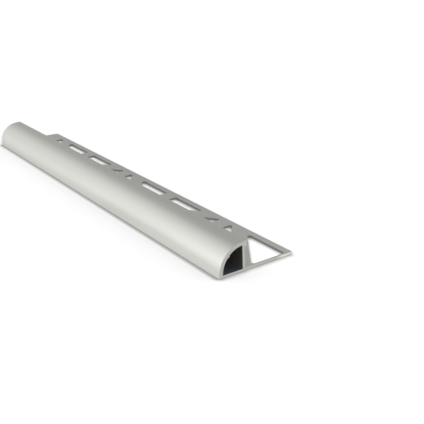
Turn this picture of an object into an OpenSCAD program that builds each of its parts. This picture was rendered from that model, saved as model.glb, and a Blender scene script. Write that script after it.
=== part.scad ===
// Quarter-round tile edge trim: one aluminium extrusion with a hollow quarter-round
// bead, an upright wall for the tile to butt against, and a thin perforated leg that
// is bedded in adhesive under the tile. Both ends are plain saw cuts.
// The length runs along Y, the leg points to +X, and the underside lies on Z = 0.
// The origin is at the middle of the underside.

/* [Stock] */
// Length of the cut piece
trim_length = 180; // [60:1:3000]
// Overall width, from the front of the bead to the tip of the leg
trim_width = 30; // [24:0.5:45]
// Nominal height, up to the top of the bead's curve, which matches the tile
trim_height = 10; // [8:0.5:15]
// Rounding of the lip's corners and of the leg's tip
edge_rounding = 0.1; // [0.05:0.01:0.25]

/* [Bead] */
// Height of the upright foot below the curve
foot_height = 1.3; // [0.9:0.1:2.5]
// Run from the middle of the curve to the face of the lip
crown_run = 1.8; // [1:0.1:3]
// Slope of the crown where it rises to the lip, in degrees
crown_slope = 5; // [0:0.5:8]
// Thickness of the curved wall at the foot
foot_wall = 1.35; // [0.8:0.05:2]
// Thickness of the curved wall at the crown
crown_wall = 1.1; // [0.7:0.05:1.6]
// Radius inside the curved wall
chamber_radius = 7.75; // [7:0.05:8.5]
// Radius of the small rib that runs along the inside of the curved wall
rib_radius = 0.35; // [0.1:0.05:0.5]
// Angle of that rib above the horizontal, seen from the centre of the chamber's arc
rib_angle = 43.5; // [20:0.5:70]

/* [Tile wall] */
// Thickness of the upright wall
wall_thickness = 0.95; // [0.6:0.05:1.5]
// Height of the lip, from its underside to the top of the curve
lip_height = 2; // [1:0.1:3]
// How far the foot of the wall is set back from the face of the lip
wall_setback = 0.4; // [0.1:0.05:0.8]
// How much further back the wall is just below the lip
undercut = 0.36; // [0.1:0.02:0.6]

/* [Leg] */
// Thickness of the leg and of the bead's floor
leg_thickness = 0.75; // [0.5:0.05:1.2]

/* [Perforation] */
// Solid strip between the holes and the tip of the leg
tip_strip = 2.6; // [2:0.05:6]
// Solid strip between the holes and the upright wall
wall_strip = 3.2; // [1.5:0.1:5]
// Length along the trim of the outer triangular holes
hole_length = 19.4; // [14:0.5:30]
// Width of the diagonal strut between the two holes of a window
diagonal_strut = 4.9; // [3:0.1:8]
// Width of the cross strut between one window and the next
cross_strut = 5.9; // [3:0.1:12]
// Rounding of the holes' corners
hole_rounding = 0.8; // [0.3:0.05:1.2]
// Distance from the near cut end to the first window
first_window = 0.85; // [0.3:0.05:30]

/* [Hidden] */
$fn = 96;
// How far a cut runs past the face that it opens
past = 1;

// Bead, measured from its front: the curve ends where it has the slope of the crown
curve_radius = trim_height - foot_height;
curve_centre = [curve_radius, foot_height];
curve_end = curve_centre + curve_radius * [-sin(crown_slope), cos(crown_slope)];
chamber_centre = [foot_wall + chamber_radius, trim_height - crown_wall - chamber_radius];

// Lip, and the wall below it, which leans back from its foot
lip_face_x = curve_radius + crown_run;
lip_top = curve_end[1] + (lip_face_x - curve_end[0]) * tan(crown_slope);
lip_underside = trim_height - lip_height;
wall_face_x = lip_face_x - wall_setback;
wall_lean = undercut / (lip_underside - leg_thickness);

// Perforation: each window holds an outer and an inner triangle with a strut between them.
// The rounded tip of the inner triangle touches the same line as the outer triangle's edge.
band_near_wall = wall_face_x + wall_strip;
band_near_tip = trim_width - tip_strip;
band_width = band_near_tip - band_near_wall;
diagonal_angle = atan(hole_length / band_width);
tip_overshoot = hole_rounding * (1 / tan(diagonal_angle / 2) - 1);
inner_hole_width = band_width + tip_overshoot;
inner_hole_length = inner_hole_width * tan(diagonal_angle);
window_length = inner_hole_length + diagonal_strut / cos(diagonal_angle);
window_pitch = window_length + cross_strut;
last_window = floor((trim_length - first_window - window_length) / window_pitch);

function unit(v) = v / norm(v);

// Centre of the arc that rounds the corner at b, between its neighbours a and c
function arc_centre(a, b, c, r) =
    let (to_a = unit(a - b), to_c = unit(c - b))
    b + unit(to_a + to_c) * r / sin(acos(to_a * to_c) / 2);

// Point on the edge from b to its neighbour where the arc at b begins
function arc_start(b, neighbour, centre) =
    let (along = unit(neighbour - b))
    b + along * ((centre - b) * along);

// A polygon with true arcs at the corners whose numbers are listed
module rounded_polygon(corners, r, rounded) {
    n = len(corners);
    function at(i) = corners[(i + n) % n];
    function centre(i) = arc_centre(at(i - 1), at(i), at(i + 1), r);
    polygon([for (i = [0 : n - 1])
        each len(search(i, rounded)) == 0
            ? [at(i)]
            : [for (side = [-1, 1]) arc_start(at(i), at(i + side), centre(i))]]);
    for (i = rounded) {
        translate(centre(i)) circle(r);
    }
}

// Outline of the section: the quarter round in front of the lip, the wall and the leg
module outer_outline() {
    intersection() {
        translate(curve_centre) circle(curve_radius);
        square([curve_radius, trim_height]);
    }
    rounded_polygon([
        [0, 0],
        [trim_width, 0],
        [trim_width, leg_thickness],
        [wall_face_x, leg_thickness],
        [wall_face_x - undercut, lip_underside],
        [lip_face_x, lip_underside],
        [lip_face_x, lip_top],
        curve_end,
        [0, foot_height]
    ], edge_rounding, rounded = [2, 5, 6]);
}

// Hollow of the bead: the inner arc, closed by the floor and by the leaning wall
module chamber_outline() {
    wall_foot_x = wall_face_x - wall_thickness;
    wall_top_x = wall_foot_x - wall_lean * (trim_height - leg_thickness);
    difference() {
        intersection() {
            translate(chamber_centre) circle(chamber_radius);
            polygon([
                [0, leg_thickness],
                [wall_foot_x, leg_thickness],
                [wall_top_x, trim_height],
                [0, trim_height]
            ]);
        }
        translate(chamber_centre) rotate(-rib_angle) translate([-chamber_radius, 0]) circle(rib_radius);
    }
}

module section() {
    difference() {
        outer_outline();
        chamber_outline();
    }
}

// The two triangular holes of one window, from its start at Y = 0
module window_holes() {
    rounded_polygon([
        [band_near_tip, 0],
        [band_near_tip, hole_length],
        [band_near_wall, 0]
    ], hole_rounding, rounded = [0, 1, 2]);
    rounded_polygon([
        [band_near_wall, window_length],
        [band_near_wall, window_length - inner_hole_length],
        [band_near_wall + inner_hole_width, window_length]
    ], hole_rounding, rounded = [0, 1, 2]);
}

// All windows from the near end, every second one turned end for end
module perforation() {
    for (i = [0 : last_window]) {
        turned = i % 2;
        translate([0, first_window + i * window_pitch + turned * window_length])
            mirror([0, turned]) window_holes();
    }
}

module trim_profile() {
    color("silver") translate([-trim_width / 2, 0, 0]) difference() {
        rotate([90, 0, 0]) linear_extrude(trim_length, center = true) section();
        translate([0, -trim_length / 2, -past]) linear_extrude(leg_thickness + 2 * past) perforation();
    }
}

trim_profile();
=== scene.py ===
"""Dresses a quarter-round tile edge trim: its anodised finish, and the studio that it lies in."""

import math

import bpy
from bpy.props import FloatProperty, FloatVectorProperty, PointerProperty
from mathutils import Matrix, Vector


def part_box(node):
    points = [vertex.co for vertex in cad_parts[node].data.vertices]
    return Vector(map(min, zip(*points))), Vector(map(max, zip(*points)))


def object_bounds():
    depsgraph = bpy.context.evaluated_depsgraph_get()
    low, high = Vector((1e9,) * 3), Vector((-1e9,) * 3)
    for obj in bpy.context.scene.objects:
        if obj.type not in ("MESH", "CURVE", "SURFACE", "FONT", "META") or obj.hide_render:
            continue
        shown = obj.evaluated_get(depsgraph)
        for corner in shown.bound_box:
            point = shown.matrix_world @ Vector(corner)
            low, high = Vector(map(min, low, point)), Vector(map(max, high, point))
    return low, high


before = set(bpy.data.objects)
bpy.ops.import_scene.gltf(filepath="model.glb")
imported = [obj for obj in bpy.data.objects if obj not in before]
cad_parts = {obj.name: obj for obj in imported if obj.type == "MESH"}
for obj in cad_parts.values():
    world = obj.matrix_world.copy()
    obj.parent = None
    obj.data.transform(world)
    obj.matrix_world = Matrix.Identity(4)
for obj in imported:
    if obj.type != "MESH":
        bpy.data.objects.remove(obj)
CAD_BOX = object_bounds()
TRIM = "trim_profile"
MM = 0.001
# A step too small to see, to tell a face from what lies beside it
HAIR = 0.01 * MM

# Grain of the patterns in the metal, in features per metre: along each axis, or the same all round
FINE_STREAKS = (1800, 9, 1800)
BROAD_STREAKS = (160, 6, 160)
ETCH = 9000
SAW_WANDER = 700
SAW_MOTTLE = 1500

bl_info = {
    "name": "Tile edge trim",
    "version": (1, 0, 0),
    "blender": (4, 5, 0),
    "location": "View3D > Sidebar > Trim",
    "description": "Finishes a quarter-round aluminium tile trim and sets up its studio",
    "category": "Object",
}


class TrimSection(bpy.types.PropertyGroup):
    """Sizes of the extrusion that tell one kind of surface from another, from the front of the bead."""

    chamber_x: FloatProperty(
        name="Chamber axis from the front", default=9.1 * MM, unit="LENGTH",
        description="How far the centre of the chamber's arc lies behind the front of the bead")
    chamber_z: FloatProperty(
        name="Chamber axis height", default=1.15 * MM, unit="LENGTH",
        description="Height of the centre of the chamber's arc above the underside")
    chamber_radius: FloatProperty(
        name="Chamber radius", default=7.75 * MM, unit="LENGTH",
        description="Radius of the inside of the curved wall")
    wall_face: FloatProperty(
        name="Wall from the front", default=10.1 * MM, unit="LENGTH",
        description="How far the foot of the upright wall lies behind the front of the bead")
    wall_thickness: FloatProperty(
        name="Wall thickness", default=0.95 * MM, unit="LENGTH",
        description="Thickness of the upright wall")
    wall_lean: FloatProperty(
        name="Wall lean", default=0.0497,
        description="How far the upright wall leans to the front for each unit of height")
    leg_thickness: FloatProperty(
        name="Leg thickness", default=0.75 * MM, unit="LENGTH",
        description="Thickness of the leg and of the bead's floor")


class TrimFinish(bpy.types.PropertyGroup):
    """Colours, roughness and marks of the surfaces, some with painted light and shade."""

    silver: FloatVectorProperty(
        name="Anodised silver", default=(0.70, 0.70, 0.66), size=3, min=0, max=1, subtype="COLOR",
        description="Colour of the matt anodised skin")
    silver_roughness: FloatProperty(
        name="Anodised roughness", default=0.42, min=0, max=1, subtype="FACTOR",
        description="Roughness of the anodised skin")
    roughness_spread: FloatProperty(
        name="Roughness spread", default=0.16, min=0, max=1, subtype="FACTOR",
        description="How much the roughness of the skin varies from streak to streak")
    streak_depth: FloatProperty(
        name="Streak strength", default=0.09, min=0, max=1, subtype="FACTOR",
        description="How much the drawing streaks along the length lighten and darken the skin")
    broad_share: FloatProperty(
        name="Broad streaks", default=0.4, min=0, max=1, subtype="FACTOR",
        description="Share of the broad streaks among the drawing streaks")
    # The chamber's colours hold painted light and shade: its walls are darkened as painted shade, and its
    # floor is lighter and bluer as painted light
    mill: FloatVectorProperty(
        name="Mill finish inside", default=(0.30, 0.30, 0.28), size=3, min=0, max=1, subtype="COLOR",
        description="Colour of the bare metal on the walls of the chamber")
    lit_mill_floor: FloatVectorProperty(
        name="Mill finish of the floor", default=(0.33, 0.37, 0.39), size=3, min=0, max=1, subtype="COLOR",
        description="Colour of the bare metal on the floor of the chamber")
    mill_roughness: FloatProperty(
        name="Mill roughness", default=0.55, min=0, max=1, subtype="FACTOR",
        description="Roughness of the chamber")
    # Both colours of the holes' walls are darkened as painted shade, over the real burnished and torn
    # bands
    punched: FloatVectorProperty(
        name="Punched edge", default=(0.31, 0.31, 0.30), size=3, min=0, max=1, subtype="COLOR",
        description="Colour of the burnished upper band on the walls of the holes")
    torn: FloatVectorProperty(
        name="Torn edge", default=(0.217, 0.217, 0.21), size=3, min=0, max=1, subtype="COLOR",
        description="Colour of the torn lower band on the walls of the holes")
    torn_share: FloatProperty(
        name="Torn band", default=0.55, min=0, max=1, subtype="FACTOR",
        description="Share of the leg's thickness that the punch tore")
    punched_roughness: FloatProperty(
        name="Punched roughness", default=0.5, min=0, max=1, subtype="FACTOR",
        description="Roughness of the walls of the holes")
    sawn: FloatVectorProperty(
        name="Sawn end", default=(0.56, 0.545, 0.51), size=3, min=0, max=1, subtype="COLOR",
        description="Colour of the bare metal at the saw cuts")
    sawn_roughness: FloatProperty(
        name="Sawn roughness", default=0.5, min=0, max=1, subtype="FACTOR",
        description="Roughness of the saw cuts")
    sawn_mottle: FloatProperty(
        name="Sawn mottle", default=0.25, min=0, max=1, subtype="FACTOR",
        description="How much the saw cuts vary in lightness from patch to patch")
    saw_mark_depth: FloatProperty(
        name="Saw mark strength", default=0.05, min=0, max=1, subtype="FACTOR",
        description="How much the saw marks lighten and darken the cuts")
    saw_mark_spacing: FloatProperty(
        name="Saw mark spacing", default=0.35 * MM, unit="LENGTH",
        description="Distance between the curved marks that the saw blade left")
    saw_mark_wander: FloatProperty(
        name="Saw mark wander", default=0.525 * MM, unit="LENGTH",
        description="How far the saw marks stray from even arcs")
    blade_aside: FloatProperty(
        name="Saw axis to the side", default=43.75 * MM, unit="LENGTH",
        description="How far the saw's axis lay to the leg's side of the middle of the trim")
    blade_below: FloatProperty(
        name="Saw axis below", default=116.25 * MM, unit="LENGTH",
        description="How far the saw's axis lay below the trim, which sets how the marks curve")
    # Painted highlight: the end of the leg is brightened towards its tip, set by these four values
    tip_highlight: FloatProperty(
        name="Polish at the tip", default=1.5, min=1,
        description="How much brighter the saw left the end of the leg beside its tip")
    highlight_reach: FloatProperty(
        name="Polish reach", default=6.5 * MM, unit="LENGTH",
        description="How far from the tip that polish starts")
    highlight_full: FloatProperty(
        name="Full polish", default=3.5 * MM, unit="LENGTH",
        description="How far from the tip that polish is whole")
    highlight_fray: FloatProperty(
        name="Polish fray", default=2 * MM, unit="LENGTH",
        description="How far the start of that polish strays")
    edge_softness: FloatProperty(
        name="Edge softness", default=0.2 * MM, unit="LENGTH",
        description="Radius to which the sawn and punched edges look rounded")
    relief_height: FloatProperty(
        name="Relief height", default=0.008 * MM, unit="LENGTH", precision=6,
        description="Height of the saw marks")
    relief_strength: FloatProperty(
        name="Relief strength", default=0.35, min=0, max=1, subtype="FACTOR",
        description="How much the relief bends the light")
    streak_relief: FloatProperty(
        name="Streak relief", default=0.3, min=0, max=1, subtype="FACTOR",
        description="Height of the drawing streaks as a share of the saw marks'")
    etch_relief: FloatProperty(
        name="Etch relief", default=0.25, min=0, max=1, subtype="FACTOR",
        description="Height of the etched grain as a share of the saw marks'")


class TrimStage(bpy.types.PropertyGroup):
    """Camera, floor and light."""

    view_azimuth: FloatProperty(
        name="View azimuth", default=math.radians(-36.72), unit="ROTATION",
        description="Direction that the camera looks from, turned from straight in front of the near end")
    view_elevation: FloatProperty(
        name="View elevation", default=math.radians(22.08), unit="ROTATION",
        description="Height of the camera above the horizon")
    view_distance: FloatProperty(
        name="View distance", default=250.9 * MM, unit="LENGTH",
        description="Distance from the camera to the point on the floor that it looks at")
    look_at: FloatVectorProperty(
        name="Look at", default=(15.55 * MM, -45.35 * MM, 0), size=3, subtype="XYZ",
        description="Point on the floor in the middle of the picture")
    lens: FloatProperty(
        name="Lens", default=56.57,
        description="Focal length in millimetres on a 36 mm sensor")
    floor_colour: FloatVectorProperty(
        name="Floor", default=(0.86, 0.86, 0.86), size=3, min=0, max=1, subtype="COLOR",
        description="Colour of the floor")
    floor_size: FloatProperty(
        name="Floor size", default=12, unit="LENGTH",
        description="Width of the floor")
    floor_lift: FloatProperty(
        name="Floor lift", default=0.335, min=0, max=1, subtype="FACTOR",
        description="Glow that takes the floor to white where the camera sees it")
    window_lift: FloatProperty(
        name="Window lift", default=0.22, min=0, max=1, subtype="FACTOR",
        description="Further glow of the floor that the camera sees through the leg at the near end")
    window_reach: FloatProperty(
        name="Window lift reach", default=40 * MM, unit="LENGTH",
        description="How far from the near end that further glow has faded out")
    contact_reach: FloatProperty(
        name="Contact shade reach", default=2.0 * MM, unit="LENGTH",
        description="How far the soft shade around the part spreads over the floor")
    contact_depth: FloatProperty(
        name="Contact shade depth", default=1.4, min=0,
        description="How dark that shade is where the part meets the floor")
    contact_side: FloatVectorProperty(
        name="Contact shade side", default=(0.7, 0.6, 0.4), size=3, subtype="XYZ",
        description="Direction in which a point of the floor looks for the part that shades it")
    mirrored_near: FloatProperty(
        name="Mirrored floor nearby", default=0.85, min=0, max=1, subtype="FACTOR",
        description="Brightness of the floor beside the part where the metal mirrors it")
    mirrored_far: FloatProperty(
        name="Mirrored floor farther off", default=1.0, min=0, max=1, subtype="FACTOR",
        description="Brightness of the open floor where the metal mirrors it")
    mirrored_reach: FloatProperty(
        name="Mirrored floor reach", default=14 * MM, unit="LENGTH",
        description="How far from the part the mirrored floor has the brightness of the open floor")
    mirrored_fade: FloatProperty(
        name="Mirrored floor fade", default=0.08, min=0, max=1, subtype="FACTOR",
        description="How much of that brightness is lost from the near end to the far end")
    key_strength: FloatProperty(
        name="Key light", default=0.34, min=0,
        description="Strength of the soft key light")
    key_spread: FloatProperty(
        name="Key light spread", default=math.radians(43), unit="ROTATION",
        description="How wide the key light looks from the trim, which softens its shadows")
    key_direction: FloatVectorProperty(
        name="Key light direction", default=(0.7, 0, 0.7), size=3, subtype="XYZ",
        description="Direction from the trim to the key light")
    left_glow: FloatProperty(
        name="Left glow", default=2.58, min=0,
        description="Brightness of the studio low on the bead's side")
    left_back_glow: FloatProperty(
        name="Left back glow", default=0.36, min=0,
        description="Brightness of the studio behind the bead's side")
    upper_glow: FloatProperty(
        name="Upper glow", default=0.75, min=0,
        description="Brightness of the studio high up behind the bead's side")
    back_glow: FloatProperty(
        name="Back glow", default=0.41, min=0,
        description="Brightness of the studio past the far end")
    right_glow: FloatProperty(
        name="Right glow", default=0.90, min=0,
        description="Brightness of the studio on the leg's side")
    right_front_glow: FloatProperty(
        name="Right front glow", default=1.75, min=0,
        description="Brightness of the studio before the leg's side")
    front_glow: FloatProperty(
        name="Front glow", default=1.79, min=0,
        description="Brightness of the studio behind the camera")


def link(tree, source, target):
    """Joins an output to an input; a plain value is set on the input instead."""
    if isinstance(source, bpy.types.NodeSocket):
        tree.links.new(source, target)
    elif target.type == "RGBA":
        target.default_value = (*source, 1)
    elif source is not None:
        target.default_value = source


def math_node(tree, operation, a, b=None, c=None):
    """A Math node's result."""
    node = tree.nodes.new("ShaderNodeMath")
    node.operation = operation
    for source, target in zip((a, b, c), node.inputs):
        link(tree, source, target)
    return node.outputs["Value"]


def all_of(tree, *masks):
    """A mask that is 1 where every given mask is 1."""
    result = masks[0]
    for mask in masks[1:]:
        result = math_node(tree, "MULTIPLY", result, mask)
    return result


def between(tree, value, low, high):
    """A mask that is 1 where a value lies between two limits."""
    above = math_node(tree, "GREATER_THAN", value, low)
    below = math_node(tree, "LESS_THAN", value, high)
    return all_of(tree, above, below)


def distance(tree, across, up):
    """Distance from an axis, from the steps across and up to it."""
    squares = [math_node(tree, "MULTIPLY", step, step) for step in (across, up)]
    return math_node(tree, "SQRT", math_node(tree, "ADD", *squares))


def varied(tree, middle, pattern, spread):
    """A number that a pattern between 0 and 1 moves about its middle, within a spread."""
    offset = math_node(tree, "SUBTRACT", pattern, 0.5)
    return math_node(tree, "MULTIPLY_ADD", offset, spread, middle)


def ramp(tree, value, start, end):
    """0 up to the start, 1 past the end, and smooth between them."""
    node = tree.nodes.new("ShaderNodeMapRange")
    node.interpolation_type = "SMOOTHSTEP"
    link(tree, value, node.inputs["Value"])
    node.inputs["From Min"].default_value = start
    node.inputs["From Max"].default_value = end
    return node.outputs["Result"]


def mix(tree, kind, factor, a, b):
    """What is given as a where the factor is 0, and b where it is 1."""
    node = tree.nodes.new("ShaderNodeMix")
    node.data_type = kind
    link(tree, factor, node.inputs["Factor"])
    link(tree, a, node.inputs["A"])
    link(tree, b, node.inputs["B"])
    return node.outputs["Result"]


def mix_colour(tree, factor, a, b):
    """Colour a where the factor is 0, and colour b where it is 1."""
    return mix(tree, "RGBA", factor, a, b)


def mix_value(tree, factor, a, b):
    """Number a where the factor is 0, and number b where it is 1."""
    return mix(tree, "FLOAT", factor, a, b)


def brightened(tree, colour, factor):
    """A colour times a number."""
    node = tree.nodes.new("ShaderNodeVectorMath")
    node.operation = "SCALE"
    link(tree, colour, node.inputs[0])
    link(tree, factor, node.inputs["Scale"])
    return node.outputs["Vector"]


def position(tree):
    """The place on the object, and its X, Y and Z."""
    place = tree.nodes.new("ShaderNodeTexCoord").outputs["Object"]
    split = tree.nodes.new("ShaderNodeSeparateXYZ")
    tree.links.new(place, split.inputs["Vector"])
    return place, *split.outputs


def noise(tree, place, scale, detail):
    """Noise between 0 and 1, of the same grain all round."""
    node = tree.nodes.new("ShaderNodeTexNoise")
    tree.links.new(place, node.inputs["Vector"])
    node.inputs["Scale"].default_value = scale
    node.inputs["Detail"].default_value = detail
    return node.outputs["Fac"]


def streaks(tree, place, scale, detail):
    """Noise between 0 and 1, with a grain of its own along each axis."""
    stretched = tree.nodes.new("ShaderNodeMapping")
    tree.links.new(place, stretched.inputs["Vector"])
    stretched.inputs["Scale"].default_value = scale
    return noise(tree, stretched.outputs["Vector"], 1, detail)


def surface_masks(tree, x, y, z, section):
    """Masks of the sawn ends, the chamber and the punched edges, from the place on the extrusion."""
    low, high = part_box(TRIM)
    from_front = math_node(tree, "SUBTRACT", x, low.x)
    sawn = math_node(tree, "GREATER_THAN", math_node(tree, "ABSOLUTE", y), high.y - HAIR)

    # The chamber's faces, told from the outside at the middle of each wall
    half_wall = section.wall_thickness / 2
    across = math_node(tree, "SUBTRACT", from_front, section.chamber_x)
    up = math_node(tree, "SUBTRACT", z, section.chamber_z)
    reach = distance(tree, across, up)
    inside_arc = math_node(tree, "LESS_THAN", reach, section.chamber_radius + half_wall)
    above_floor = math_node(tree, "GREATER_THAN", z, section.leg_thickness / 2)
    upright = math_node(tree, "MULTIPLY_ADD", z, section.wall_lean, from_front)
    before_wall = math_node(tree, "LESS_THAN", upright, section.wall_face - half_wall)
    chamber = all_of(tree, inside_arc, above_floor, before_wall)

    # The holes' walls, which lie within the leg's thickness and clear of its wall and tip
    clear = 1 * MM
    in_leg = between(tree, z, HAIR, section.leg_thickness - HAIR)
    behind_wall = between(tree, from_front, section.wall_face + clear, high.x - low.x - clear)
    punched = all_of(tree, in_leg, behind_wall)
    return sawn, chamber, punched


def drawn_skin(tree, place, finish):
    """Lightness, roughness and relief of the skin: drawing streaks along the length over a fine etch."""
    fine = streaks(tree, place, FINE_STREAKS, detail=3)
    broad = streaks(tree, place, BROAD_STREAKS, detail=2)
    etch = noise(tree, place, ETCH, detail=2)
    drawn = mix_value(tree, finish.broad_share, fine, broad)
    lightness = varied(tree, 1.0, drawn, 2 * finish.streak_depth)
    roughness = varied(tree, finish.silver_roughness, etch, finish.roughness_spread / 2)
    roughness = varied(tree, roughness, fine, finish.roughness_spread)
    relief = math_node(tree, "MULTIPLY", etch, finish.etch_relief)
    relief = math_node(tree, "MULTIPLY_ADD", fine, finish.streak_relief, relief)
    return lightness, roughness, relief


def sawn_cut(tree, place, x, z, finish):
    """Colour and relief of a saw cut: curved marks on mottled metal, with a painted highlight beside the
    leg's tip.
    """
    across = math_node(tree, "SUBTRACT", x, finish.blade_aside)
    up = math_node(tree, "ADD", z, finish.blade_below)
    wander = noise(tree, place, SAW_WANDER, detail=1)
    sweep = math_node(tree, "MULTIPLY_ADD", wander, finish.saw_mark_wander, distance(tree, across, up))
    marks = math_node(tree, "SINE", math_node(tree, "DIVIDE", sweep, finish.saw_mark_spacing / math.tau))
    mottle = noise(tree, place, SAW_MOTTLE, detail=3)
    lightness = varied(tree, 1.0, mottle, finish.sawn_mottle)
    lightness = math_node(tree, "MULTIPLY_ADD", marks, finish.saw_mark_depth, lightness)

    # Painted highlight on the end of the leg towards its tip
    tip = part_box(TRIM)[1].x
    frayed = math_node(tree, "MULTIPLY_ADD", mottle, finish.highlight_fray, x)
    by_tip = ramp(tree, frayed, tip - finish.highlight_reach, tip - finish.highlight_full)
    highlight = math_node(tree, "MULTIPLY_ADD", by_tip, finish.tip_highlight - 1, 1.0)
    colour = brightened(tree, finish.sawn, math_node(tree, "MULTIPLY", lightness, highlight))
    return colour, math_node(tree, "ADD", marks, mottle)


def punched_wall_with_painted_shade(tree, z, section, finish):
    """Colour of a hole's wall: the punch leaves a burnished upper band and a torn lower one, both darkened
    as painted shade.
    """
    torn = math_node(tree, "LESS_THAN", z, section.leg_thickness * finish.torn_share)
    return mix_colour(tree, torn, finish.punched, finish.torn)


def shaded_and_lit_chamber(tree, z, section, finish):
    """Colour of the bare metal in the chamber: its walls darkened as painted shade, and its floor lighter
    and bluer as painted light.
    """
    just_above_floor = 1.1 * section.leg_thickness
    lit_floor = math_node(tree, "LESS_THAN", z, just_above_floor)
    return mix_colour(tree, lit_floor, finish.mill, finish.lit_mill_floor)


def anodised_aluminium(section, finish):
    """Matt silver anodised extrusion with sawn ends, punched edges and a bare chamber, with painted shade
    on the holes' walls and the chamber's walls, painted light on the chamber's floor and a painted
    highlight at the leg's tip.
    """
    material = bpy.data.materials.new("anodised_aluminium_satin")
    material.use_nodes = True
    tree = material.node_tree
    place, x, y, z = position(tree)
    sawn, chamber, punched = surface_masks(tree, x, y, z, section)
    lightness, roughness, relief = drawn_skin(tree, place, finish)
    sawn_colour, sawn_relief = sawn_cut(tree, place, x, z, finish)
    bare = shaded_and_lit_chamber(tree, z, section, finish)

    colour = brightened(tree, finish.silver, lightness)
    # The holes' walls carry painted shade
    colour = mix_colour(tree, punched, colour, punched_wall_with_painted_shade(tree, z, section, finish))
    # The chamber carries painted shade on its walls and painted light on its floor
    colour = mix_colour(tree, chamber, colour, brightened(tree, bare, lightness))
    colour = mix_colour(tree, sawn, colour, sawn_colour)
    roughness = mix_value(tree, punched, roughness, finish.punched_roughness)
    roughness = mix_value(tree, chamber, roughness, finish.mill_roughness)
    roughness = mix_value(tree, sawn, roughness, finish.sawn_roughness)

    rounded = tree.nodes.new("ShaderNodeBevel")
    rounded.inputs["Radius"].default_value = finish.edge_softness
    bump = tree.nodes.new("ShaderNodeBump")
    bump.inputs["Strength"].default_value = finish.relief_strength
    bump.inputs["Distance"].default_value = finish.relief_height
    tree.links.new(mix_value(tree, sawn, relief, sawn_relief), bump.inputs["Height"])
    tree.links.new(rounded.outputs["Normal"], bump.inputs["Normal"])

    shader = tree.nodes["Principled BSDF"]
    shader.inputs["Metallic"].default_value = 1.0
    tree.links.new(colour, shader.inputs["Base Color"])
    tree.links.new(roughness, shader.inputs["Roughness"])
    tree.links.new(bump.outputs["Normal"], shader.inputs["Normal"])
    return material


class TRIM_OT_extrusion(bpy.types.Operator):
    """Give the extrusion its anodised finish, sawn ends and punched edges"""

    bl_idname = "trim.extrusion"
    bl_label = "Finish the extrusion"

    def execute(self, context):
        scene = context.scene
        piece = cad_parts[TRIM]
        material = anodised_aluminium(scene.trim_section, scene.trim_finish)
        piece.data.materials.clear()
        piece.data.materials.append(material)
        return {"FINISHED"}


def contact_shade(tree, stage):
    """1 on the open floor, and less where the part is near, on the side that it shades."""
    nearby = tree.nodes.new("ShaderNodeAmbientOcclusion")
    nearby.inputs["Distance"].default_value = stage.contact_reach
    toward = tree.nodes.new("ShaderNodeCombineXYZ")
    for socket, value in zip(toward.inputs, Vector(stage.contact_side).normalized()):
        socket.default_value = value
    tree.links.new(toward.outputs["Vector"], nearby.inputs["Normal"])
    return math_node(tree, "POWER", nearby.outputs["AO"], stage.contact_depth)


def window_glow(tree, stage):
    """Further glow of the floor within the part's outline, which fades out from the near end."""
    low, high = CAD_BOX
    _, x, y, _ = position(tree)
    within = all_of(tree, between(tree, x, low.x, high.x), between(tree, y, low.y, high.y))
    fade = ramp(tree, y, low.y, low.y + stage.window_reach)
    return math_node(tree, "MULTIPLY", within, mix_value(tree, fade, stage.window_lift, 0.0))


def mirrored_glow(tree, stage):
    """Brightness of the floor as metal mirrors it: less beside the part and towards the far end."""
    low, high = CAD_BOX
    _, x, y, _ = position(tree)
    away = ramp(tree, math_node(tree, "ABSOLUTE", x), high.x, high.x + stage.mirrored_reach)
    along = ramp(tree, y, low.y, high.y)
    across = mix_value(tree, away, stage.mirrored_near, stage.mirrored_far)
    fade = mix_value(tree, along, 1.0, 1 - stage.mirrored_fade)
    return math_node(tree, "MULTIPLY", across, fade)


def emission(tree, strength):
    """A white glow."""
    node = tree.nodes.new("ShaderNodeEmission")
    link(tree, strength, node.inputs["Strength"])
    return node.outputs["Emission"]


def pale_floor(stage):
    """Floor with a soft shade where the part meets it, and a plain glow where metal mirrors it."""
    material = bpy.data.materials.new("pale_floor")
    material.use_nodes = True
    tree = material.node_tree
    tree.nodes.clear()
    path = tree.nodes.new("ShaderNodeLightPath")
    shade = contact_shade(tree, stage)

    diffuse = tree.nodes.new("ShaderNodeBsdfDiffuse")
    tree.links.new(brightened(tree, stage.floor_colour, shade), diffuse.inputs["Color"])
    lift = math_node(tree, "ADD", window_glow(tree, stage), stage.floor_lift)
    lift = all_of(tree, lift, shade, path.outputs["Is Camera Ray"])
    seen = tree.nodes.new("ShaderNodeAddShader")
    tree.links.new(diffuse.outputs["BSDF"], seen.inputs[0])
    tree.links.new(emission(tree, lift), seen.inputs[1])

    glossy = path.outputs["Is Glossy Ray"]
    transmitted = path.outputs["Is Transmission Ray"]
    choice = tree.nodes.new("ShaderNodeMixShader")
    tree.links.new(math_node(tree, "MAXIMUM", glossy, transmitted), choice.inputs["Fac"])
    tree.links.new(seen.outputs["Shader"], choice.inputs[1])
    tree.links.new(emission(tree, mirrored_glow(tree, stage)), choice.inputs[2])
    output = tree.nodes.new("ShaderNodeOutputMaterial")
    tree.links.new(choice.outputs["Shader"], output.inputs["Surface"])
    return material


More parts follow.
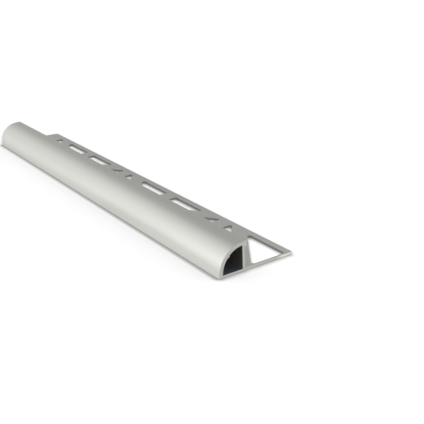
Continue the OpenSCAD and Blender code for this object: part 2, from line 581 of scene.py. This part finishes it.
def studio_world(stage):
    """Soft surroundings: a few broad glows, brightest on the bead's side, and white to the camera."""
    # Brightness of each glow, the direction of its middle, and how tight it is about that
    glows = (
        (stage.left_glow, (-1, 0.3, 0), 8),
        (stage.left_back_glow, (-0.65, 0.72, 0.25), 6),
        (stage.upper_glow, (-0.4, 0.6, 0.7), 6),
        (stage.back_glow, (0, 1, 0.3), 4),
        (stage.right_glow, (1, 0, 0.3), 3),
        (stage.right_front_glow, (0.8, -0.55, 0.3), 8),
        (stage.front_glow, (-0.5, -0.8, 0.3), 4),
    )
    world = bpy.data.worlds.new("studio")
    world.use_nodes = True
    tree = world.node_tree
    direction = tree.nodes.new("ShaderNodeTexCoord").outputs["Generated"]
    total = 0.0
    for brightness, middle, tightness in glows:
        facing = tree.nodes.new("ShaderNodeVectorMath")
        facing.operation = "DOT_PRODUCT"
        tree.links.new(direction, facing.inputs[0])
        facing.inputs[1].default_value = Vector(middle).normalized()
        ahead = math_node(tree, "MAXIMUM", facing.outputs["Value"], 0.0)
        falloff = math_node(tree, "POWER", ahead, tightness)
        total = math_node(tree, "MULTIPLY_ADD", falloff, brightness, total)
    seen = tree.nodes.new("ShaderNodeLightPath").outputs["Is Camera Ray"]
    background = tree.nodes["Background"]
    background.inputs["Color"].default_value = (1, 1, 1, 1)
    tree.links.new(mix_value(tree, seen, total, 1.0), background.inputs["Strength"])
    return world


class TRIM_OT_stage(bpy.types.Operator):
    """Set up the floor, the light and the camera"""

    bl_idname = "trim.stage"
    bl_label = "Set up the stage"

    def execute(self, context):
        scene = context.scene
        stage = scene.trim_stage
        # The floor lies a hair below the underside, so that no two faces share a plane
        bpy.ops.object.select_all(action="DESELECT")
        bpy.ops.mesh.primitive_plane_add(size=stage.floor_size, location=(0, 0, -HAIR))
        floor = context.object
        floor.name = "floor"
        floor.data.materials.append(pale_floor(stage))

        scene.world = studio_world(stage)
        bpy.ops.object.light_add(type="SUN", location=stage.key_direction)
        key = context.object
        key.name = "key_light"
        key.data.energy = stage.key_strength
        key.data.angle = stage.key_spread
        key.rotation_euler = (-Vector(stage.key_direction)).to_track_quat("-Z", "Y").to_euler()

        azimuth, elevation = stage.view_azimuth, stage.view_elevation
        back = Vector((
            math.sin(azimuth) * math.cos(elevation),
            -math.cos(azimuth) * math.cos(elevation),
            math.sin(elevation)))
        bpy.ops.object.camera_add(location=Vector(stage.look_at) + back * stage.view_distance)
        camera = context.object
        camera.rotation_euler = (-back).to_track_quat("-Z", "Y").to_euler()
        camera.data.sensor_width = 36
        camera.data.lens = stage.lens
        camera.data.clip_start = MM
        scene.camera = camera
        scene.view_settings.view_transform = "Standard"
        return {"FINISHED"}


class TRIM_PT_panel(bpy.types.Panel):
    """Lists the steps and the values they use"""

    bl_idname = "TRIM_PT_panel"
    bl_label = "Tile edge trim"
    bl_space_type = "VIEW_3D"
    bl_region_type = "UI"
    bl_category = "Trim"

    def draw(self, context):
        for operator in (TRIM_OT_extrusion, TRIM_OT_stage):
            self.layout.operator(operator.bl_idname)
        for group in (context.scene.trim_section, context.scene.trim_finish, context.scene.trim_stage):
            box = self.layout.box()
            for name in group.__annotations__:
                box.prop(group, name)


CLASSES = (TrimSection, TrimFinish, TrimStage, TRIM_OT_extrusion, TRIM_OT_stage, TRIM_PT_panel)


def register():
    for cls in CLASSES:
        bpy.utils.register_class(cls)
    bpy.types.Scene.trim_section = PointerProperty(type=TrimSection)
    bpy.types.Scene.trim_finish = PointerProperty(type=TrimFinish)
    bpy.types.Scene.trim_stage = PointerProperty(type=TrimStage)


def unregister():
    del bpy.types.Scene.trim_stage
    del bpy.types.Scene.trim_finish
    del bpy.types.Scene.trim_section
    for cls in reversed(CLASSES):
        bpy.utils.unregister_class(cls)


def main():
    register()
    bpy.ops.trim.extrusion()
    bpy.ops.trim.stage()


if __name__ == "__main__":
    main()
